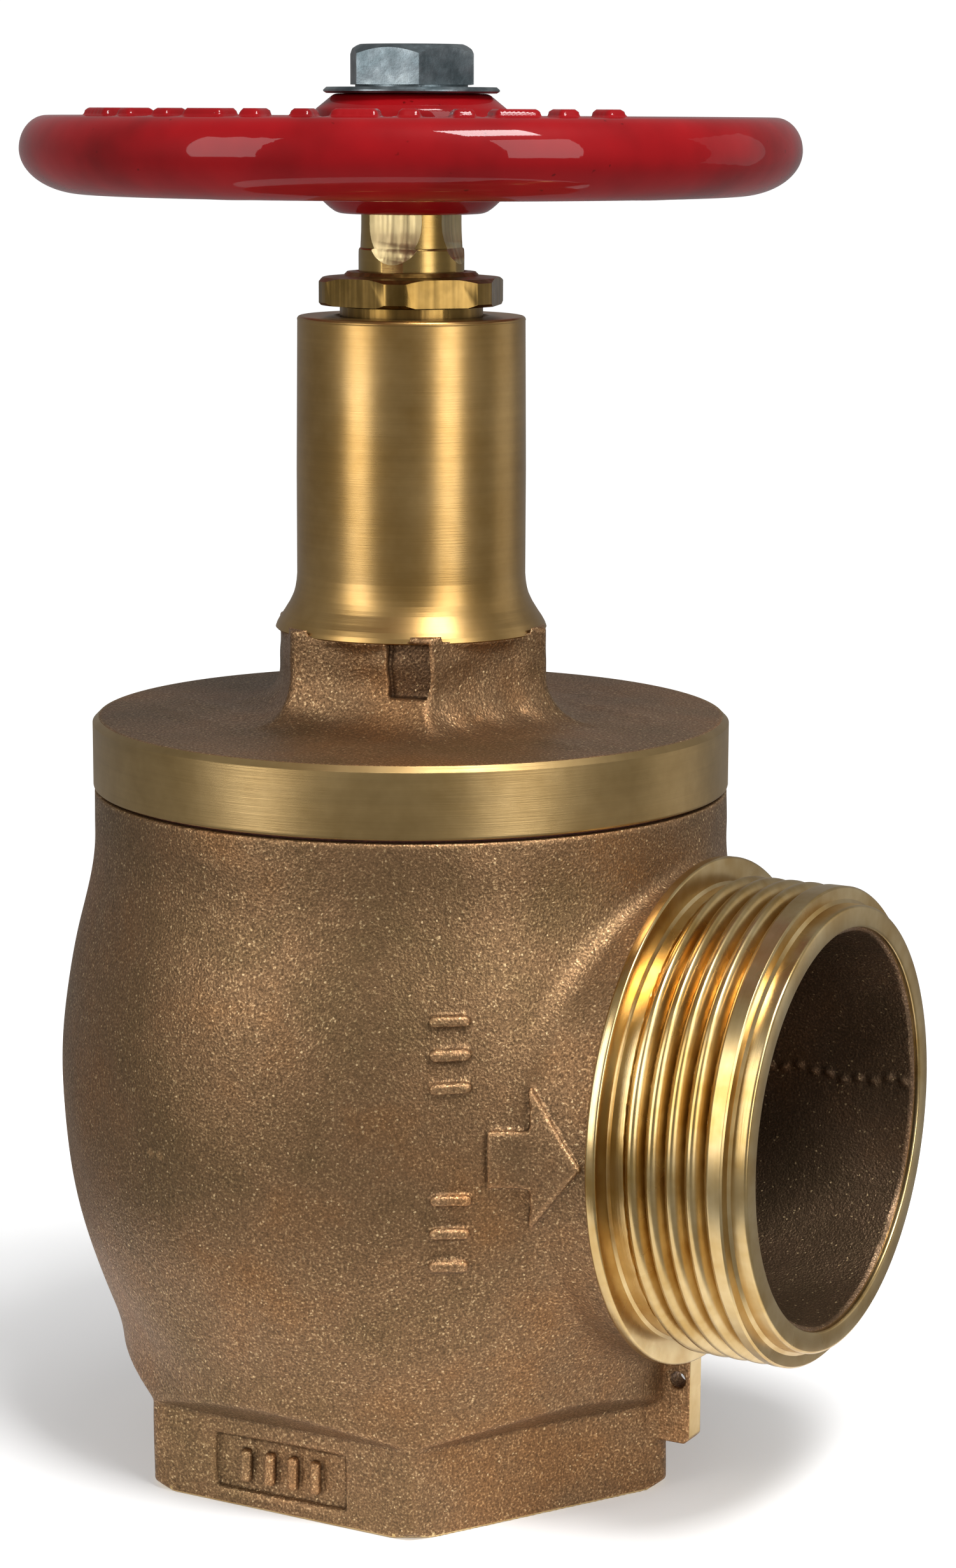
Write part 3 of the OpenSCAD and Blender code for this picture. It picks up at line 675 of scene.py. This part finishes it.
def wheel_field(x, y, z):
    """Distance to the cast handwheel."""
    lower_width, upper_width, rim_inside, bore = 10.5, 4.6, 50.5, 8.2
    hub_middle, hub_half, true_hub = 219.75, 9.65, 0.8
    radius = np.hypot(x, y)
    rim = np.where(z < WHEEL_MIDDLE, rim_half(radius, z, lower_width, WHEEL_MIDDLE - WHEEL_BOTTOM),
                   rim_half(radius, z, upper_width, WHEEL_TOP - WHEEL_MIDDLE))
    rim = smooth_max(np.maximum(rim, span(z, WHEEL_BOTTOM, WHEEL_TOP)), rim_inside - radius, 5.0)
    upper_r = 12.6 + 3.2 * rise(-z, -229.4, 2.6)
    lower_r = 11.7 + 4.1 * rise(z, 210.1, 3.4) ** 0.7
    hub_r = np.where(z < 214.5, lower_r, upper_r)
    hub = smooth_max((radius - hub_r) * true_hub, np.abs(z - hub_middle) - hub_half, 0.4)
    shape = smooth_min(rim, hub, 1.0)
    for k in range(SPOKES):
        shape = smooth_min(shape, spoke(x, y, z, -18 + 360 / SPOKES * k), 2.2)
    for turn, length, width in wheel_marks():
        out, side = out_and_side(x, y, turn)
        pad = box_field(out, side, z, (56.0, 0.0, WHEEL_TOP + 0.3), (width / 2, length / 2, 0.9), 0.5)
        shape = smooth_min(shape, pad, 0.6)
    return np.maximum(shape, bore - radius)


def wheel_marks():
    """Plain raised pads on the rim's top: (angle, length round the rim, width)."""
    count, start, step, short, long, width = 12, -VIEW_TURN - 56, 8.1, 3.2, 7.0, 5.0
    return [(start + k * step, short if k % 3 else long, width) for k in range(count)]


def handwheel():
    """The cast and enamelled handwheel."""
    step = 0.5
    reach, low, high = WHEEL_R + 1.0, 209.0, 230.6
    points, faces = surface(wheel_field, (-reach, -reach, low), (reach, reach, high), step)
    piece = mesh("handwheel_casting", points, faces, "spindle", ALL_SMOOTH)
    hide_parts("handwheel")
    return piece


def wheel_washer():
    """The thin stamped washer, with its rolled edge."""
    low, high = WASHER_LOW[2], WASHER_HIGH[2]
    outer, bore = WASHER_HIGH[0], 5.2
    profile = [(bore, low + 0.2), (bore + 0.2, low), (outer - 0.5, low), (outer, low + 0.3)]
    profile += [(outer, high - 0.45), (outer - 0.5, high), (bore + 0.2, high), (bore, high - 0.2)]
    piece = mesh("wheel_washer_stamped", *lathe(profile, 144, True), "spindle", MACHINED)
    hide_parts("wheel_washer")
    return piece


def wheel_bolt():
    """The hexagon head bolt, with its corners turned off and a flat washer face under its head."""
    low, seat, top = BOLT_LOW[2], 230.5, BOLT_HIGH[2]
    shank_r, face_r, corner_r, flats, turn = 4.7, 9.2, 11.2, 19.05, -54
    profile = [(0.0, low), (shank_r - 0.5, low), (shank_r, low + 0.6), (shank_r, seat), (face_r, seat)]
    profile += [(face_r, seat + 0.3), (corner_r, seat + 0.35), (corner_r, top - 1.7), (9.0, top - 0.25)]
    profile += [(8.4, top), (0.0, top)]
    piece = mesh("wheel_bolt_forged", *lathe(profile, 128), "spindle")
    cut(piece, tool(*prism(hexagon_corners(flats, turn), low - 2, top + 2)), operation="INTERSECT")
    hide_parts("wheel_bolt")
    return piece


# ---------------------------------------------------------------- materials

class Graph:
    """A material's node tree, with short calls for what the materials here need."""

    def __init__(self, name):
        self.material = bpy.data.materials.new(name)
        self.material.use_nodes = True
        self.nodes = self.material.node_tree.nodes
        self.links = self.material.node_tree.links
        self.nodes.clear()
        self.out = self.nodes.new("ShaderNodeOutputMaterial")
        self.shader = self.nodes.new("ShaderNodeBsdfPrincipled")
        self.links.new(self.shader.outputs[0], self.out.inputs[0])
        self.place = self.nodes.new("ShaderNodeTexCoord").outputs["Object"]

    def set(self, **sockets):
        """Constant values of the shader's own sockets."""
        for name, value in sockets.items():
            self.shader.inputs[name.replace("_", " ")].default_value = value

    def link(self, source, name):
        """Links a socket to one of the shader's inputs."""
        self.links.new(source, self.shader.inputs[name])

    def noise(self, scale, detail, rough=0.5, stretch=None):
        """Noise at that many cells a metre, stretched along an axis if asked."""
        node = self.nodes.new("ShaderNodeTexNoise")
        node.inputs["Scale"].default_value = scale
        node.inputs["Detail"].default_value = detail
        node.inputs["Roughness"].default_value = rough
        self.links.new(self.stretched(stretch), node.inputs["Vector"])
        return node.outputs["Fac"]

    def cells(self, scale):
        """Cells, each with its own random colour, at that many a metre."""
        node = self.nodes.new("ShaderNodeTexVoronoi")
        node.inputs["Scale"].default_value = scale
        self.links.new(self.place, node.inputs["Vector"])
        return node.outputs["Color"]

    def stretched(self, stretch):
        """The object's coordinates, scaled along each axis if asked."""
        if stretch is None:
            return self.place
        node = self.nodes.new("ShaderNodeMapping")
        node.inputs["Scale"].default_value = stretch
        self.links.new(self.place, node.inputs["Vector"])
        return node.outputs[0]

    def ramp(self, source, *stops):
        """Colours or greys for a factor: stops are (position, colour or grey)."""
        node = self.nodes.new("ShaderNodeValToRGB")
        elements = node.color_ramp.elements
        while len(elements) < len(stops):
            elements.new(0.5)
        for element, (position, colour) in zip(elements, stops):
            element.position = position
            colour = (colour,) * 3 if isinstance(colour, (int, float)) else colour
            element.color = (*colour, 1.0)
        self.links.new(source, node.inputs[0])
        return node.outputs[0]

    def mix(self, share, first, second, blend="MIX"):
        """Mix of two colours; each is a socket or a colour, and share is a socket or a number."""
        node = self.nodes.new("ShaderNodeMix")
        node.data_type = "RGBA"
        node.blend_type = blend
        for socket, value in zip((node.inputs[0], node.inputs[6], node.inputs[7]), (share, first, second)):
            if isinstance(value, bpy.types.NodeSocket):
                self.links.new(value, socket)
            elif isinstance(value, tuple):
                socket.default_value = (*value, 1.0)
            else:
                socket.default_value = value
        return node.outputs[2]

    def bump(self, height, distance, strength, under=None):
        """A bump of that height in metres, on top of another normal if given."""
        node = self.nodes.new("ShaderNodeBump")
        node.inputs["Strength"].default_value = strength
        node.inputs["Distance"].default_value = distance
        self.links.new(height, node.inputs["Height"])
        if under is not None:
            self.links.new(under, node.inputs["Normal"])
        return node.outputs[0]

    def distance(self):
        """Distance from the object's origin, in metres."""
        node = self.nodes.new("ShaderNodeVectorMath")
        node.operation = "LENGTH"
        self.links.new(self.place, node.inputs[0])
        return node.outputs["Value"]

    def edges(self):
        """How convex the surface is: 0.5 where it is flat, more on edges, less in corners."""
        return self.nodes.new("ShaderNodeNewGeometry").outputs["Pointiness"]


def cast_bronze(name, tint=(0.178, 0.101, 0.048), light=(0.52, 0.35, 0.18)):
    """Sand-cast bronze: brown skin with a fine grain and darker stains; bright specks in it are painted
    glints; convex edges are lighter, as rubbed wear with a painted highlight, and hollows and creases are
    darker, as painted shade.
    """
    g = Graph(name)
    grain = g.noise(2600, 2, 0.6)
    middle = tuple(c * 1.45 for c in tint)
    colour = g.ramp(grain, (0.28, tuple(c * 0.6 for c in tint)), (0.45, tint), (0.60, middle), (0.70, light))
    stains = g.ramp(g.noise(38, 4, 0.6), (0.34, (0.80, 0.84, 0.80)), (0.52, (1.0, 1.0, 1.0)),
                    (0.68, (1.12, 1.0, 0.86)))
    colour = g.mix(1.0, colour, stains, "MULTIPLY")
    # Darker in hollows and creases: painted shade. Lighter on convex edges: rubbed wear with a painted
    # highlight.
    painted_shade_and_worn_edges = g.ramp(g.edges(), (0.42, 0.40), (0.492, 1.0), (0.510, 1.0), (0.57, 1.7))
    colour = g.mix(1.0, colour, painted_shade_and_worn_edges, "MULTIPLY")
    # Bright golden specks mixed into the colour: painted glints.
    painted_glints = g.ramp(g.cells(3600), (0.90, 0.0), (0.93, 0.55))
    g.link(g.mix(painted_glints, colour, (0.90, 0.66, 0.36)), "Base Color")
    g.set(Metallic=0.85)
    g.link(g.ramp(grain, (0.3, 0.58), (0.7, 0.36)), "Roughness")
    coarse = g.bump(g.noise(650, 2, 0.5), 0.00018, 0.5)
    g.link(g.bump(grain, 0.00018, 0.7, coarse), "Normal")
    return g.material


def turned_bronze(name, axis, colour, dark, rough):
    """Turned metal: fine tool marks round the axis, with faint smears and stains."""
    g = Graph(name)
    rings, ring_depth = 5200, 0.000016
    flat = {"X": (1.0, 0.02, 0.02), "Z": (0.02, 0.02, 1.0)}[axis]
    marks = g.noise(rings, 2, 0.6, flat)
    bands = g.noise(rings / 6, 3, 0.7, flat)
    smear = g.noise(70, 4, 0.65)
    blotch = g.noise(24, 3, 0.6)
    base = g.mix(g.ramp(smear, (0.35, 0.0), (0.7, 1.0)), dark, colour)
    base = g.mix(1.0, base, g.ramp(bands, (0.3, 0.93), (0.7, 1.03)), "MULTIPLY")
    g.link(base, "Base Color")
    g.set(Metallic=1.0)
    g.link(g.ramp(blotch, (0.3, rough[0]), (0.7, rough[1])), "Roughness")
    g.link(g.bump(marks, ring_depth, 0.8), "Normal")
    return g.material


def milled_brass(name, colour, dark):
    """Brass milled across: fine upright ripples and uneven tarnish."""
    g = Graph(name)
    ripples = g.noise(900, 1, 0.5, (1.0, 1.0, 0.03))
    base = g.mix(g.ramp(g.noise(90, 4, 0.65), (0.35, 0.0), (0.7, 1.0)), dark, colour)
    g.link(g.mix(1.0, base, g.ramp(ripples, (0.3, 0.70), (0.7, 1.1)), "MULTIPLY"), "Base Color")
    g.set(Metallic=1.0)
    g.link(g.ramp(g.noise(160, 3, 0.6), (0.3, 0.26), (0.7, 0.40)), "Roughness")
    g.link(g.bump(ripples, 0.00009, 0.8), "Normal")
    return g.material


def red_enamel(name):
    """Gloss red enamel over cast iron: a wavy skin, a deep coat and a few specks, with darker and lighter
    red patches that are painted reflection.
    """
    g = Graph(name)
    # Darker and lighter red patches in the colour: painted reflection of the surroundings.
    painted_reflection_patches = g.noise(55, 3, 0.55)
    specks = g.noise(700, 1, 0.5)
    colour = g.ramp(painted_reflection_patches, (0.3, (0.14, 0.001, 0.002)), (0.55, (0.22, 0.002, 0.004)),
                    (0.8, (0.28, 0.003, 0.005)))
    colour = g.mix(g.ramp(specks, (0.76, 0.0), (0.80, 0.8)), colour, (0.08, 0.0, 0.0))
    g.link(colour, "Base Color")
    g.set(Metallic=0.0, Roughness=0.5, Coat_Weight=0.7, Coat_Roughness=0.03, Coat_IOR=1.35,
          Specular_IOR_Level=0.05)
    g.link(g.bump(g.noise(120, 2, 0.5), 0.0004, 0.35), "Normal")
    return g.material


def zinc(name):
    """Bright zinc plate, faintly blue, over a forged skin."""
    g = Graph(name)
    skin = g.noise(480, 4, 0.65)
    patch = g.noise(130, 3, 0.6)
    colour = g.ramp(patch, (0.3, (0.07, 0.10, 0.11)), (0.55, (0.18, 0.215, 0.23)),
                    (0.75, (0.36, 0.41, 0.42)))
    g.link(colour, "Base Color")
    g.set(Metallic=1.0)
    g.link(g.ramp(skin, (0.3, 0.30), (0.7, 0.48)), "Roughness")
    g.link(g.bump(skin, 0.00012, 0.7), "Normal")
    return g.material


def rubber(name):
    """Moulded rubber with a fine dusty grain."""
    g = Graph(name)
    grain = g.noise(1400, 3, 0.6)
    g.link(g.ramp(grain, (0.3, (0.012, 0.012, 0.012)), (0.7, (0.03, 0.03, 0.03))), "Base Color")
    g.link(g.ramp(grain, (0.3, 0.55), (0.7, 0.75)), "Roughness")
    g.link(g.bump(grain, 0.00005, 0.5), "Normal")
    return g.material


def graphite(name):
    """Pressed graphite packing, flaky and grey."""
    g = Graph(name)
    flakes = g.cells(1200)
    g.link(g.ramp(flakes, (0.0, (0.03, 0.03, 0.033)), (1.0, (0.11, 0.11, 0.12))), "Base Color")
    g.set(Metallic=0.3, Roughness=0.45)
    g.link(g.bump(g.noise(1600, 2), 0.00005, 0.6), "Normal")
    return g.material


def fibre(name):
    """Compressed fibre sheet."""
    g = Graph(name)
    strands = g.noise(1500, 4, 0.7, (1.0, 1.0, 0.2))
    g.link(g.ramp(strands, (0.3, (0.05, 0.015, 0.01)), (0.7, (0.14, 0.04, 0.025))), "Base Color")
    g.set(Roughness=0.85)
    g.link(g.bump(strands, 0.00005, 0.6), "Normal")
    return g.material


def on_flat(centre, normal):
    """Whether a face of the stem is one of its milled flats or their run-outs."""
    facing_least, sideways_most, level_most, flat_least = 0.4, 0.02, 0.9, 6.9
    places = out_and_side(centre.x, centre.y, FLATS_TURN)
    ways = out_and_side(normal.x, normal.y, FLATS_TURN)
    for place, way, other in ((places[0], ways[0], ways[1]), (places[1], ways[1], ways[0])):
        if abs(way) > facing_least and abs(other) < sideways_most and abs(place) > flat_least:
            return abs(normal.z) < level_most
    return False


# Picks the faces that get the pocket's painted shade.
def in_pocket(centre, normal):
    """Whether a face of the bonnet lies in the pocket beside its hexagon's corner."""
    out, side = out_and_side(centre.x, centre.y, POCKET_TURN)
    return 4.9 < side < 12.4 and 18.0 < out < HEX_NECK_APOTHEM - 0.8 and 132.9 < centre.z < 142.2


def dress(material, *pieces):
    """Gives pieces a material."""
    for piece in pieces:
        piece.data.materials.clear()
        piece.data.materials.append(material)


# ---------------------------------------------------------------- camera, light and floor

VIEW_TURN = 61.09  # angle between the outlet's axis and the line to the camera, in degrees
CAMERA_BACK, CAMERA_SIDE, CAMERA_HEIGHT = 0.6191, 0.01125, 0.2271
CAMERA_PITCH, CAMERA_ROLL = 10.25, 0.22  # degrees
LENS, SENSOR = 85.8, 36.0  # millimetres
FLOOR_NEAR, FLOOR_FAR = 0.12, 0.26  # the valve's metal mirrors only the near part of the floor
COVE_R, COVE_HEIGHT, COVE_BEND = 1.6, 2.6, 0.5  # backdrop: radius where it bends up, height, bend


def to_camera(turn=0.0):
    """Level direction from the valve's axis to the camera, turned to the camera's right by an angle."""
    a = math.radians(-VIEW_TURN + turn)
    return Vector((math.cos(a), math.sin(a), 0.0))


def camera():
    """The camera, where the photographer stood."""
    data = bpy.data.cameras.new("camera")
    data.lens, data.sensor_width = LENS, SENSOR
    data.clip_start, data.clip_end = 0.01, 50.0
    eye = bpy.data.objects.new("camera", data)
    bpy.context.scene.collection.objects.link(eye)
    right = to_camera(90)
    look = (-to_camera() * math.cos(math.radians(CAMERA_PITCH))
            - Vector((0, 0, 1)) * math.sin(math.radians(CAMERA_PITCH)))
    up = right.cross(look)
    turn = Matrix((right, up, -look)).transposed()
    eye.location = to_camera() * CAMERA_BACK + right * CAMERA_SIDE + Vector((0, 0, CAMERA_HEIGHT))
    eye.rotation_euler = (turn.to_4x4() @ Matrix.Rotation(math.radians(CAMERA_ROLL), 4, "Z")).to_euler()
    bpy.context.scene.camera = eye


def softbox(name, turn, elevation, distance, width, height, power):
    """A soft white light, aimed at the valve's middle. turn is to the camera's right, in degrees."""
    data = bpy.data.lights.new(name, "AREA")
    data.shape, data.size, data.size_y = "RECTANGLE", width, height
    data.energy = power
    light = bpy.data.objects.new(name, data)
    bpy.context.scene.collection.objects.link(light)
    middle = Vector((0, 0, 0.13))
    e = math.radians(elevation)
    way = to_camera(turn) * math.cos(e) + Vector((0, 0, 1)) * math.sin(e)
    light.location = middle + way * distance
    light.rotation_euler = (-way).to_track_quat("-Z", "Y").to_euler()


def studio():
    """Two softboxes in front, a top light, a weak light at the right edge, and a faint white world."""
    world = bpy.data.worlds.new("world")
    bpy.context.scene.world = world
    world.use_nodes = True
    shade = world.node_tree.nodes["Background"]
    shade.inputs["Color"].default_value = (1.0, 1.0, 1.0, 1.0)
    shade.inputs["Strength"].default_value = 0.27
    softbox("left_softbox", -53, 17, 1.03, 0.40, 0.90, 4.8)
    softbox("right_softbox", 38, 17, 1.03, 0.40, 0.90, 5.2)
    softbox("top_light", 34, 60, 1.3, 0.40, 0.40, 17)
    softbox("right_edge", 108, 8, 1.0, 0.50, 0.90, 0.6)


def ground():
    """The pale floor, which brightens outwards into a white backdrop that only the camera sees."""
    white = (1.0, 1.0, 1.0, 1.0)
    near = Graph("pale_floor")
    near.link(near.ramp(near.noise(6, 2), (0.3, 0.80), (0.7, 0.82)), "Base Color")
    near.set(Roughness=0.9, Emission_Color=white)
    near.link(near.ramp(near.distance(), (0.06, 0.22), (0.22, 0.72)), "Emission Strength")
    floor = stage_piece("floor", [(0.0, 0.0), (FLOOR_NEAR, 0.0)], 96)
    apron = stage_piece("floor_apron", [(FLOOR_NEAR, 0.0), (FLOOR_FAR, 0.0)], 96)
    dress(near.material, floor, apron)
    apron.visible_glossy = False
    far = Graph("pale_backdrop")
    far.link(far.ramp(far.noise(6, 2), (0.3, 0.20), (0.7, 0.22)), "Base Color")
    far.set(Roughness=1.0, Emission_Color=white, Emission_Strength=0.95)
    under, wall = -0.0006, COVE_R + COVE_BEND
    profile = [(0.0, under), (COVE_R, under)] + arc((COVE_R, COVE_BEND), COVE_BEND, 270, 360, 11)
    backdrop = stage_piece("backdrop", profile + [(wall, COVE_HEIGHT), (0.0, COVE_HEIGHT)], 64)
    dress(far.material, backdrop)
    for ray in ("glossy", "diffuse", "transmission", "shadow", "volume_scatter"):
        setattr(backdrop, "visible_" + ray, False)


def stage_piece(name, profile, segments):
    """A turned piece of the stage, from a profile in metres."""
    points, faces = turned(profile, segments, False)
    data = bpy.data.meshes.new(name)
    data.from_pydata(points.tolist(), [], faces.tolist())
    data.shade_smooth()
    piece = bpy.data.objects.new(name, data)
    bpy.context.scene.collection.objects.link(piece)
    return piece


# ---------------------------------------------------------------- the valve

camera()
bpy.context.scene.view_settings.view_transform = "Standard"

TURNED = ((0.69, 0.53, 0.28), (0.47, 0.295, 0.095), (0.22, 0.32))
skin = cast_bronze("cast_bronze")
# A darker copy of the cast skin for the outlet's bore: painted shade inside the waterway.
waterway_painted_shade = cast_bronze("cast_waterway_painted_shade", (0.115, 0.070, 0.040), (0.30, 0.20, 0.12))
machined = turned_bronze("turned_outlet", "X", *TURNED)
machined_inlet = turned_bronze("turned_inlet", "Z", *TURNED)
sleeve_metal = turned_bronze("turned_sleeve", "Z", (0.50, 0.318, 0.122), (0.39, 0.232, 0.074), (0.28, 0.36))
band_metal = turned_bronze("turned_flange", "Z", (0.52, 0.355, 0.155), (0.39, 0.255, 0.10), (0.28, 0.40))
stem_metal = turned_bronze("stem_brass", "Z", (0.46, 0.315, 0.118), (0.33, 0.205, 0.06), (0.20, 0.30))
brass = milled_brass("machined_brass", (0.32, 0.20, 0.062), (0.19, 0.11, 0.026))
flats_metal = milled_brass("milled_flats", (0.72, 0.58, 0.31), (0.54, 0.42, 0.20))
# A darker copy of the cast skin for the pocket beside the bonnet's hexagon: painted shade in that recess.
pocket_painted_shade = cast_bronze("cast_pocket_painted_shade", (0.10, 0.055, 0.027), (0.28, 0.18, 0.09))
plate = zinc("zinc_plate")
packing = graphite("graphite")

body_casting = valve_body()
dress(skin, body_casting)
mark_faces(body_casting, machined_inlet, lambda centre, normal: centre.z < 0.65)
dress(machined, outlet_thread())
chain_lug = lug()
dress(skin, chain_lug)
mark_faces(chain_lug, machined, lambda centre, normal: centre.x > LUG_X - 0.3 and normal.x > 0.9)
# The bore gets the darker copy of the cast skin: painted shade.
dress(waterway_painted_shade, outlet_lining())
dress(machined_inlet, inlet_thread())
casting = bonnet_casting()
dress(skin, casting)
# The pocket's faces get the darker copy: painted shade.
mark_faces(casting, pocket_painted_shade, in_pocket)
dress(band_metal, flange_edge())
dress(sleeve_metal, bonnet_sleeve())
dress(brass, packing_nut())
spindle = stem()
dress(stem_metal, spindle)
mark_faces(spindle, flats_metal, lambda centre, normal: centre.z > 201 and on_flat(centre, normal))
dress(red_enamel("red_enamel"), handwheel())
dress(plate, wheel_washer(), wheel_bolt())

inner = {"bonnet_gasket": fibre("red_fibre"), "packing_washer": brass, "packing_gland": brass,
         "packing_ring_lower": packing, "packing_ring_middle": packing, "packing_ring_upper": packing,
         "disc_holder": skin, "seat_disc": rubber("black_rubber"), "disc_plate": brass, "disc_nut": brass,
         "lock_washer": plate, "thrust_washer": plate, "swivel_nut": brass, "swivel_pin": plate}
for node, material in inner.items():
    dress(material, frame["nodes"][node])

studio()
ground()
